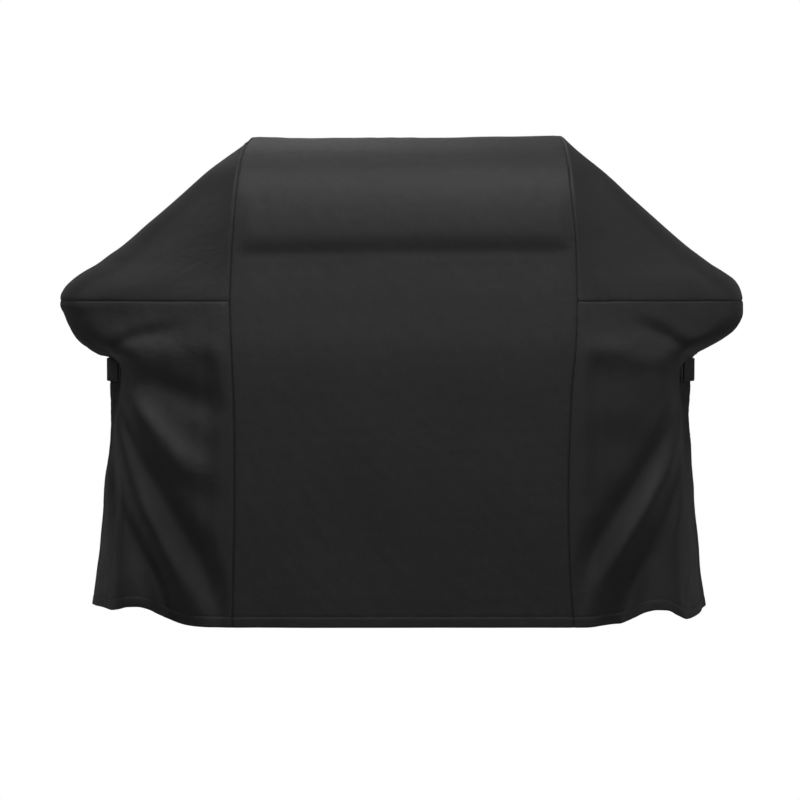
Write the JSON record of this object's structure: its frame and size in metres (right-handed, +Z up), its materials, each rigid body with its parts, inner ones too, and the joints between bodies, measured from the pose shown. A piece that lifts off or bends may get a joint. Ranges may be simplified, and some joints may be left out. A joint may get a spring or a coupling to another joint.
{
  "type": "grill cover",
  "caption": "Fitted fabric cover for a cart grill with two side tables: hood, sloping shoulders over the tables and skirts gathered in by hook-and-loop straps.",
  "frame": {"origin": "the middle of the hem's plane, under the middle of the cover's width and depth", "axes": "+Z up, -Y towards the front, +X to the right seen from the front"},
  "size_m": [1.524, 0.7622, 1.04],
  "materials": {
    "cover_fabric": "black coated polyester oxford weave, soft sheen",
    "seam_tape": "smooth black coated tape",
    "webbing": "black ribbed polyester webbing",
    "loop_tape": "black brushed loop pile",
    "hook_tape": "black nylon hook tape",
    "thread": "black polyester thread"
  },
  "bodies": {
    "cover": {"centre_panel": "cover_fabric", "left_shoulder_panel": "cover_fabric", "left_skirt_panel": "cover_fabric", "left_centre_seam_tape": "seam_tape", "left_table_seam_tape": "seam_tape", "left_hem_band": "seam_tape", "left_anchor_patch": "cover_fabric", "left_strap_root": "webbing", "left_anchor_stitches": "thread", "left_loop_strip": "loop_tape", "left_loop_stitches": "thread", "right_shoulder_panel": "cover_fabric", "right_skirt_panel": "cover_fabric", "right_centre_seam_tape": "seam_tape", "right_table_seam_tape": "seam_tape", "right_hem_band": "seam_tape", "right_anchor_patch": "cover_fabric", "right_strap_root": "webbing", "right_anchor_stitches": "thread", "right_loop_strip": "loop_tape", "right_loop_stitches": "thread", "front_hem_band": "seam_tape", "rear_hem_band": "seam_tape", "hem_stitches": "thread"},
    "left_strap_arm": {"left_strap_arm": "webbing"},
    "left_strap_end": {"left_strap_end": "webbing", "left_hook_pad": "hook_tape", "left_pad_stitches": "thread"},
    "left_pull_tab": {"left_pull_tab": "webbing", "left_tab_stitches": "thread"},
    "right_strap_arm": {"right_strap_arm": "webbing"},
    "right_strap_end": {"right_strap_end": "webbing", "right_hook_pad": "hook_tape", "right_pad_stitches": "thread"},
    "right_pull_tab": {"right_pull_tab": "webbing", "right_tab_stitches": "thread"}
  },
  "joints": [
    {"name": "left_strap_swing", "type": "hinge", "parent": "cover", "child": "left_strap_arm", "pos_m": [-0.61034, 0.11042, 0.5235], "axis": [0, 0, -1], "range_deg": [0, 100]},
    {"name": "left_strap_unwrap", "type": "hinge", "parent": "left_strap_arm", "child": "left_strap_end", "pos_m": [-0.6525, 0, 0.5235], "axis": [0, 0, -1], "range_deg": [0, 90]},
    {"name": "left_tab_peel", "type": "hinge", "parent": "left_strap_end", "child": "left_pull_tab", "pos_m": [-0.63548, -0.08453, 0.5235], "axis": [0, 0, -1], "range_deg": [0, 90]},
    {"name": "right_strap_swing", "type": "hinge", "parent": "cover", "child": "right_strap_arm", "pos_m": [0.61034, 0.11042, 0.5235], "axis": [0, 0, 1], "range_deg": [0, 100]},
    {"name": "right_strap_unwrap", "type": "hinge", "parent": "right_strap_arm", "child": "right_strap_end", "pos_m": [0.6525, 0, 0.5235], "axis": [0, 0, 1], "range_deg": [0, 90]},
    {"name": "right_tab_peel", "type": "hinge", "parent": "right_strap_end", "child": "right_pull_tab", "pos_m": [0.63548, -0.08453, 0.5235], "axis": [0, 0, 1], "range_deg": [0, 90]}
  ]
}
